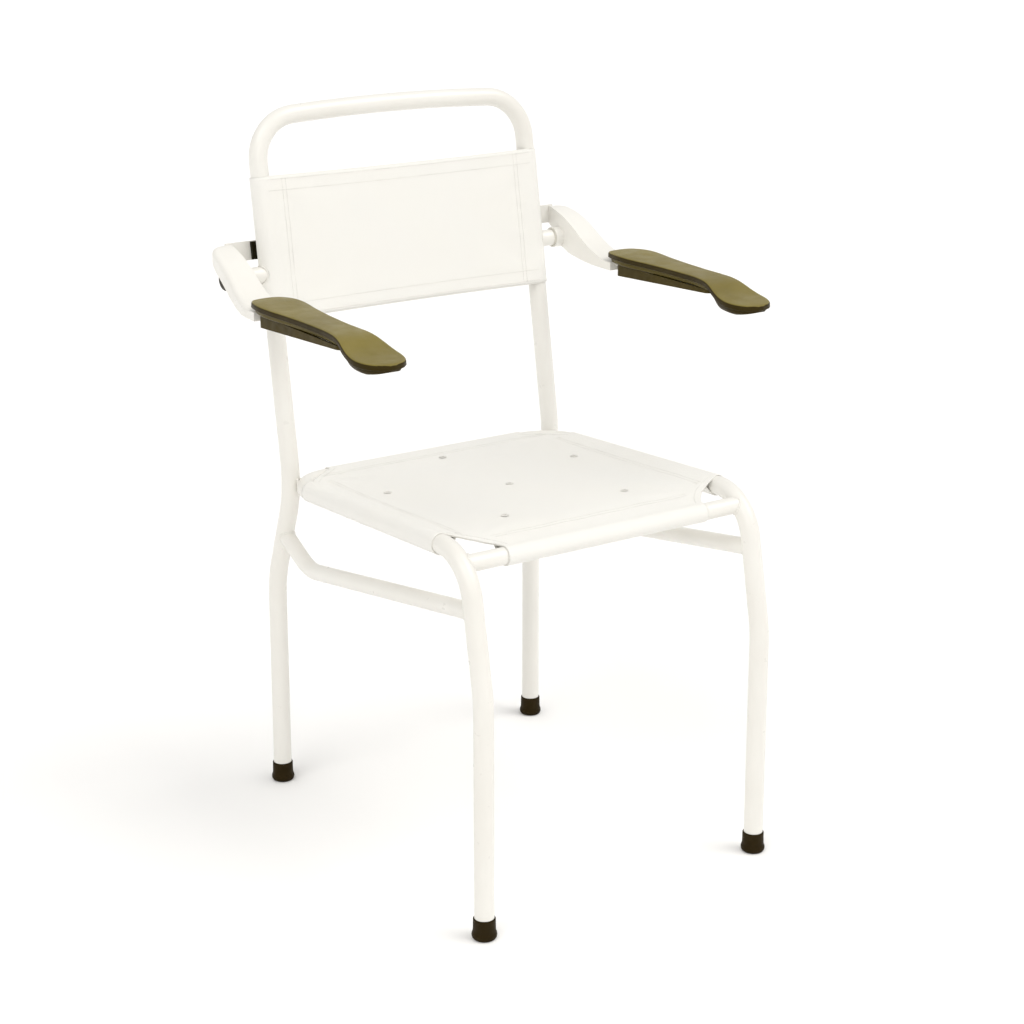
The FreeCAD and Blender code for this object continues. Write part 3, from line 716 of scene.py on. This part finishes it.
# hems folded under the notched corners
hem_rows = []
for sx in (-1, 1):
    for keys, tag in ((edge_keys, "front"), (rear_keys, "rear")):
        kx = np.array([k[1] for k in keys]) - 0.8
        ks = np.array([k[0] for k in keys], float)
        q = np.linspace(0, 1, 40)
        ds = np.r_[0, np.cumsum(np.hypot(np.diff(kx), np.diff(ks)))]
        xs, ss = np.interp(q * ds[-1], ds, kx), np.interp(q * ds[-1], ds, ks)
        inward = 11.0
        rows = []
        for w in np.linspace(0, 1, 5):
            xw = xs - inward * w * 0.75
            sw = np.clip(ss + (inward * w * 0.66 if tag == "front" else -inward * w * 0.66), 6, 434)
            rows.append(seat_pt(sx * xw, sw, -1.4))
        P = np.array(rows).transpose(1, 0, 2)
        h = strip("seat_hem_%s_%s" % (tag, "left" if sx < 0 else "right"), P, 0.0012, M["hem"])
        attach(h, "frame")


# ------------------------------------------------------------------ back cloth
B0, B1 = 232.0, 422.5
bx0 = HALF - R_MID * math.sin(math.radians(1.5))


def back_off(x, s):
    x, s = np.broadcast_arrays(np.asarray(x, float), np.asarray(s, float))
    w = np.clip(np.abs(x) / bx0, 0, 1)
    o = 13.45 - 2.6 * (1 - w**2)
    edge = np.exp(-((np.abs(x) - 183.0) / 7.0) ** 2)
    o = o + 0.22 * edge * (np.sin(s / 2.3 + puck[1] + np.sign(x)) * 0.6 + np.sin(s / 3.9 + puck[2]))
    for k, (cx, cs) in enumerate(((-195, B0 + 8), (195, B0 + 8), (-195, B1 - 8), (195, B1 - 8))):
        r = np.hypot(x - cx, s - cs)
        an = np.arctan2(s - cs, x - cx)
        o = o + 0.4 * np.exp(-((r - 60) / 32.0) ** 2) * np.sin(7 * an + puck[3 + k % 4])
    return o


def hem_sag(x):
    """Free edges pull in a little between the uprights."""
    return 1.6 * (1 - np.clip(np.abs(np.asarray(x, float)) / bx0, 0, 1) ** 2)


def build_back():
    a = np.linspace(-1, 1, 121)
    v = np.linspace(0, 1, 56)
    th0, st_x, nw, nf = math.radians(1.5), 188.0, 24, 5
    th1 = tangent_exit(st_x - HALF, 9.6, R_MID)
    th = np.linspace(-th0, th1, nw)[1:]
    n_side = len(th) + 2 * nf
    rows, cols = len(v), len(a) + 2 * n_side
    P, UV = np.zeros((rows, cols, 3)), np.zeros((rows, cols, 2))
    for j in range(cols):
        k = None
        if n_side <= j < n_side + len(a):
            x = bx0 * a[j - n_side]
            side, lo, hi = 1, B0 + hem_sag(x), B1 - hem_sag(x)
            s = lo + (hi - lo) * v
            P[:, j] = back3(np.full(rows, x), s, back_off(np.full(rows, x), s))
            UV[:, j, 0], UV[:, j, 1] = x, s
            continue
        side = 1 if j >= n_side + len(a) else -1
        k = j - n_side - len(a) if side > 0 else n_side - 1 - j
        s = B0 + (B1 - B0) * v
        if k < len(th):
            x = HALF + R_MID * math.sin(th[k])
            o = np.full(rows, R_MID * math.cos(th[k]))
            u = bx0 + R_MID * (th[k] + th0)
        else:
            ex, ez = HALF + R_MID * math.sin(th1), R_MID * math.cos(th1)
            u = bx0 + R_MID * (th1 + th0) + (k - len(th) + 1) * 4.5
            if k < len(th) + nf:
                w = (k - len(th) + 1) / nf
                x = ex + (st_x - ex) * w
                o = ez + (back_off(np.full(rows, st_x), s) - 1.5 - ez) * w
            else:
                w = (k - len(th) - nf + 1) / nf
                x = st_x - 12 * w
                o = back_off(np.full(rows, x), s) - 1.5
        P[:, j] = back3(np.full(rows, side * x), s, o)
        UV[:, j, 0], UV[:, j, 1] = side * u, s
    keep = np.ones((rows - 1, cols - 1), bool)
    flat = area_of(P, keep)
    o = grid("back_cloth", P, UV, keep, M["cloth"])
    thicken(o, 0.0013)
    pv = back3(0, 293.3, 0)
    cut(o, [(pv + XV * sx * 222.0, XV, 12.2, 22.0) for sx in (-1, 1)])
    width = 2 * (bx0 + R_MID * (th1 + th0) + 12 + math.hypot(HALF + R_MID * math.sin(th1) - st_x, 10))
    return o, flat, width * MM, (B1 - B0) * MM


back, back_area, back_w, back_l = build_back()
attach(back, "frame")
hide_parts("back_sling")
lines = []
for sx in (-1, 1):
    for xx in (186.0, 180.5):
        for ex in (0.78, -2.4):
            xs = np.full(200, sx * xx)
            ss = B0 + 3 + (B1 - B0 - 6) * tt
            p = back3(xs, ss, back_off(xs, ss) + ex)
            lines.append((p, np.repeat(B_FR[None], 200, 0)))
for base_s, sg in ((B0, 1), (B1, -1)):
    for dist in (4.0, 19.0):
        for ex in (0.78, -2.3):
            xs = (tt * 2 - 1) * (bx0 - 3)
            ss = base_s + sg * (dist + hem_sag(xs))
            p = back3(xs, ss, back_off(xs, ss) + ex)
            lines.append((p, np.repeat(B_FR[None], 200, 0)))
back_thread = stitches("back_stitching", lines)
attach(back_thread, "frame")
for base_s, sg, tag in ((B0, 1, "bottom"), (B1, -1, "top")):
    rows = []
    for w in np.linspace(0, 1, 8):
        xs = np.linspace(-178, 178, 90)
        ss = base_s + sg * (0.7 + 21.0 * w + hem_sag(xs))
        rows.append(back3(xs, ss, back_off(xs, ss) - 1.35))
    h = strip("back_hem_" + tag, np.array(rows).transpose(1, 0, 2), 0.0012, M["hem"])
    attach(h, "frame")
    # the fold itself, a soft rolled edge
    xs = np.linspace(-bx0 + 1, bx0 - 1, 120)
    ss = base_s + sg * hem_sag(xs)
    r = tube_along("back_fold_" + tag, back3(xs, ss, back_off(xs, ss) - 0.65), 1.25, M["hem"], seg=10)
    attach(r, "frame")
# bound holes where the arm pivots pass through the sleeves
pv = back3(0, 293.3, 0)
for sx, tag in ((-1, "left"), (1, "right")):
    pts = []
    for k in range(64):
        an = 2 * math.pi * k / 64
        du, dv = 12.6 * math.cos(an), 12.6 * math.sin(an)
        ang = du / R_MID
        pts.append(pv + B_UP * dv + XV * sx * (HALF + (R_MID + 0.7) * math.cos(ang)) + B_FR * (R_MID + 0.7) * math.sin(ang))
    r = tube_along("sleeve_binding_" + tag, pts, 1.0, M["hem"], closed=True, seg=8)
    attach(r, "frame")

# ------------------------------------------------------------------ weld beads
beads = []


def bead(name, pts, rad=1.5, closed=True):
    o = tube_along(name, pts, rad, M["paint"], closed=closed, seg=10, ripple=0.16, freq=1.9)
    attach(o, "frame")
    beads.append(o)


st_rear, st_low, st_front = (np.array([0, 240.0, 376.0]), np.array([0, 168.3, 343.7]), np.array([0, -246.0, 418.6]))
rear_b = np.array([0, 267.0, 304.0])
front_a, front_b = np.array([0, -267.0, 310.0]), np.array([0, -232.8, 487.1])
for sx, tag in ((-1, "left"), (1, "right")):
    X0 = XV * sx * HALF
    bead("weld_stretcher_rear_" + tag,
         cope_loop(st_low + X0, st_rear - st_low, 11.0, rear_b + X0, KNEE - rear_b, 12.5))
    bead("weld_stretcher_front_" + tag,
         cope_loop((st_low + st_front) / 2 + X0, st_front - st_low, 11.0, front_a + X0, front_b - front_a, 12.5))
    # front rail into the front bend: the bend's local direction is at 45 degrees
    c_b = front_b + X0
    u1 = (front_a - front_b) / np.linalg.norm(front_a - front_b)
    rear = np.array([0, 214.1, 453.6])
    u2 = (rear - front_b) / np.linalg.norm(rear - front_b)
    ang = math.acos(float(u1 @ u2))
    cen = c_b + (u1 + u2) / np.linalg.norm(u1 + u2) * (65.0 / math.sin(ang / 2))
    rail_p = np.array([0, -219.4, 469.7])
    rad_dir = (rail_p + X0) - cen
    rad_dir /= np.linalg.norm(rad_dir)
    tang = np.cross(rad_dir, XV)
    bead("weld_rail_" + tag, cope_loop(rail_p + XV * sx * 150, XV * sx, 11.0, cen + rad_dir * 65.0, tang, 12.5))
    # rear corner of the seat tube against the upright
    best = (1e9, None)
    cc = np.array([sx * (HALF - 53.0), 0, 0])
    for an in np.linspace(0, math.pi / 2, 91):
        s_c = S_LEN - 53.0
        q = seat3(cc[0] + sx * 53.0 * math.cos(an), s_c + 53.0 * math.sin(an), 0)
        for s in np.linspace(-30, 60, 91):
            w = back3(sx * HALF, s, 0)
            d = np.linalg.norm(w - q)
            if d < best[0]:
                best = (d, q, w)
    _, q, w = best
    nrm = (w - q) / np.linalg.norm(w - q)
    mid = q + nrm * 12.5
    side = np.cross(nrm, B_UP)
    side /= np.linalg.norm(side)
    for k, sd in enumerate((-1, 1)):
        pts = [mid + side * sd * (5.2 + 0.0 * e) + B_UP * e for e in np.linspace(-9, 9, 26)]
        bead("weld_seat_rear_%s_%d" % (tag, k), pts, 2.0, closed=False)
    # collar of the arm pivot on the upright
    bead("weld_pivot_" + tag, cope_loop(pv + XV * sx * 238.0, -XV * sx, 11.5, pv + XV * sx * HALF, B_UP, 12.5), 1.1)

# -------------------------------------------------------------------- arm pads
PAD_X, Y_R, Y_T = 278.0, 152.0, -174.0
half_keys = [(152.0, 6.0), (149.5, 12.5), (144.0, 19.0), (135.0, 24.8), (122.0, 29.2), (106.0, 31.6), (90.0, 31.4),
             (72.0, 29.6), (54.0, 27.2), (34.0, 25.2), (14.0, 23.6), (-8.0, 22.5), (-30.0, 21.8), (-52.0, 21.9),
             (-73.0, 23.4), (-93.0, 26.6), (-110.0, 30.2), (-127.0, 32.2), (-143.0, 31.8), (-156.0, 28.0),
             (-165.5, 21.6), (-171.5, 13.4), (-174.0, 6.0)]
top_keys = [(156.0, 730.4), (152.0, 731.6), (146.0, 733.4), (133.0, 734.6), (60.0, 735.0), (-30.0, 735.0),
            (-62.0, 734.9), (-80.0, 734.0), (-95.0, 731.0), (-107.0, 726.6), (-119.0, 722.4), (-132.0, 719.4),
            (-148.0, 717.6), (-165.0, 716.8), (-184.0, 716.4)]


def pad(side):
    tag = "left" if side < 0 else "right"
    t = (1 - np.cos(np.linspace(0, math.pi, 150))) / 2
    ys = Y_R + (Y_T - Y_R) * t
    H = smooth(half_keys, ys)
    Z = smooth(top_keys, ys)
    rr, rim = 3.4, 8.2
    sections = []
    for y, h, z in zip(ys, H, Z):
        r = min(rr, h * 0.45)
        e = min(abs(y - Y_R), abs(y - Y_T))
        soft = 2.2 * math.exp(-e / 3.0)          # the top falls away at both ends
        pts = []
        for a in np.linspace(0, 1, 15)[:-1]:      # crowned top
            xx = (h - r) * a
            pts.append((xx, z - soft + 0.9 * (1 - (xx / max(h, 1)) ** 2) - 0.9))
        zt = z - soft - 0.9 * ((h - r) / max(h, 1)) ** 2
        for an in np.linspace(0, math.pi / 2, 7):  # rounded edge
            pts.append((h - r + r * math.sin(an), zt - r + r * math.cos(an)))
        zr = z - rim
        pts.append((h, zr + 1.5))
        for an in np.linspace(0, math.pi / 2, 4):
            pts.append((h - 1.0 + math.cos(an), zr + 1.0 - math.sin(an)))
        # under the rim: a step in, then the core
        k = float(step(0, 1, (-y - 87.0) / 29.0))
        inset = min(5.0 + 1.2 * k, h * 0.5)
        tip = float(np.clip((y - Y_T) / 26.0, 0, 1)) ** 0.5
        deep = (z - rim) - 719.4 if k < 1e-3 else (1 - k) * ((z - rim) - 719.4) + k * ((z - rim) - 700.4)
        deep = max(deep * (tip if k > 0.5 else 1.0), 0.6)
        hh = max(h - inset, 0.8)
        pts.append((hh + 0.6, zr))
        pts.append((hh, zr - 0.5))
        rc = min(3.0 + 6.0 * k, deep * 0.6, hh * 0.5)
        pts.append((hh - 0.3, zr - max(deep - rc, 0.55) * 0.55))
        for an in np.linspace(0, math.pi / 2, 6):
            pts.append((hh - 0.3 - rc + rc * math.cos(an), zr - deep + rc - rc * math.sin(an)))
        for a in np.linspace(1, 0, 9)[1:]:
            pts.append(((hh - 0.3 - rc) * a, zr - deep))
        sections.append(pts)
    A = np.array(sections)                       # stations x points x 2
    n, m = A.shape[:2]
    full = np.concatenate([A, A[:, -2:0:-1] * np.array([-1, 1])], 1)
    m2 = full.shape[1]
    V = np.zeros((n, m2, 3))
    lean = side * 3.6 * smooth([(152.0, 0.0), (0.0, 0.0), (-60.0, 0.12), (-120.0, 0.6), (-174.0, 1.0)], ys)
    V[..., 0] = side * PAD_X + full[..., 0] - lean[:, None]
    V[..., 1] = ys[:, None]
    V[..., 2] = full[..., 1]
    F = []
    for i in range(n - 1):
        for j in range(m2):
            k2 = (j + 1) % m2
            F.append((i * m2 + j, i * m2 + k2, (i + 1) * m2 + k2, (i + 1) * m2 + j))
    verts = V.reshape(-1, 3)
    # close both ends with a slightly bulged cap
    for row, yy in ((0, Y_R + 0.9), (n - 1, Y_T - 0.9)):
        ring = verts[row * m2:(row + 1) * m2]
        c = ring.mean(0)
        mid = (ring + c) / 2
        mid[:, 1] = yy - (yy - ys[row]) * 0.3
        c[1] = yy
        s0 = len(verts)
        verts = np.vstack([verts, mid, c[None]])
        for j in range(m2):
            k2 = (j + 1) % m2
            F.append((row * m2 + j, row * m2 + k2, s0 + k2, s0 + j))
            F.append((s0 + j, s0 + k2, s0 + m2))
    o = make("armrest_pad_" + tag, out(verts), F, M["pad"])
    clean(o)
    # upward faces take the lighter top copy; the rear under-walls take a darker copy and all other faces the darkest
    # copy, both painted shade
    o.data.materials.append(M["pad_painted_shade"])
    o.data.materials.append(M["pad_painted_half_shade"])
    for f in o.data.polygons:
        wall = f.center.z < 0.7264 and f.center.y > -0.10 and abs(f.normal.z) < 0.5
        f.material_index = 0 if f.normal.z > 0.62 else 2 if wall else 1
    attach(o, "arm_" + tag)
    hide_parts("arm_pad_" + tag)
    # moulding seam round the rim's lower edge, in the darkest copy of the pad skin, which carries painted shade
    ring = []
    for sg in (1, -1):
        yy = ys[4:-4] if sg > 0 else ys[4:-4][::-1]
        hh = smooth(half_keys, yy)
        zz = smooth(top_keys, yy) - 7.2
        ln = side * 3.6 * smooth([(152.0, 0.0), (0.0, 0.0), (-60.0, 0.12), (-120.0, 0.6), (-174.0, 1.0)], yy)
        ring += [(side * PAD_X + sg * (h - 0.02) - q, y, z) for h, y, z, q in zip(hh, yy, zz, ln)]
    s = tube_along("pad_seam_" + tag, ring, 0.32, M["pad_painted_shade"], closed=True, seg=6)
    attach(s, "arm_" + tag)
    return o


for side in (-1, 1):
    pad(side)

# ------------------------------------------------------------------ the studio
floor_m, ft, fb = new_mat("studio_floor", (0.97, 0.965, 0.96), 0.9)
fv = coords(ft)
ft.links.new(mix(ft, remap(ft, noise(ft, fv, 2.0, 3.0), 0.3, 0.7, 0.0, 1.0), (0.975, 0.97, 0.965), (0.96, 0.955, 0.95)),
             fb.inputs["Base Color"])
bpy.ops.mesh.primitive_plane_add(size=90, location=(0, 0, 0))
floor = bpy.context.active_object
floor.name = "floor"
floor.data.materials.append(floor_m)

bpy.context.scene.view_settings.view_transform = "Standard"
world = bpy.data.worlds.new("studio")
bpy.context.scene.world = world
world.use_nodes = True
bg = world.node_tree.nodes["Background"]
bg.inputs["Color"].default_value = (1.0, 0.995, 0.98, 1)
bg.inputs["Strength"].default_value = 0.72


def light(name, loc, target, size, power, col=(1, 0.985, 0.96)):
    d = bpy.data.lights.new(name, "AREA")
    d.shape = "DISK"
    d.size = size
    d.energy = power
    d.color = col
    o = bpy.data.objects.new(name, d)
    bpy.context.scene.collection.objects.link(o)
    o.location = loc
    o.rotation_mode = "QUATERNION"
    o.rotation_quaternion = (Vector(target) - Vector(loc)).to_track_quat("-Z", "Y")
    return o


def sun(name, direction, power, spread, col=(1, 0.985, 0.96)):
    d = bpy.data.lights.new(name, "SUN")
    d.energy = power
    d.angle = math.radians(spread)
    d.color = col
    o = bpy.data.objects.new(name, d)
    bpy.context.scene.collection.objects.link(o)
    o.location = (0, 0, 3)
    o.rotation_mode = "QUATERNION"
    o.rotation_quaternion = Vector(direction).to_track_quat("-Z", "Y")
    return o


# two broad soft boxes, one each side of the camera, and a strip that catches the tubes
sun("key", (-0.62, 0.55, -1.05), 1.16, 38)
sun("fill", (0.85, 0.38, -1.05), 0.70, 36)
light("strip", (-1.5, -2.2, 1.9), (0, 0, 0.5), 0.5, 7)

# Camera at the product view's angle.
cam_d = bpy.data.cameras.new("camera")
cam = bpy.data.objects.new("camera", cam_d)
bpy.context.scene.collection.objects.link(cam)
bpy.context.scene.camera = cam
cam_d.sensor_width = 36.0
cam_d.lens = 2195.4276 / 1024 * 36.0
cam_d.shift_y = (382.0 - 512.0) / 1024.0
cam_d.clip_start, cam_d.clip_end = 0.1, 40.0
az, el, roll = math.radians(-33.1241), math.radians(15.2181), math.radians(0.0135)
back_v = Vector((math.sin(az) * math.cos(el), -math.cos(az) * math.cos(el), math.sin(el)))
right = (-back_v).cross(Vector((0, 0, 1))).normalized()
up = right.cross(-back_v)
r2 = right * math.cos(roll) + up * math.sin(roll)
u2 = -right * math.sin(roll) + up * math.cos(roll)
rot = Matrix((r2, u2, back_v)).transposed()
cam.matrix_world = Matrix.Translation(Vector((-1.5060495, -2.3270553, 1.3650434))) @ rot.to_4x4()
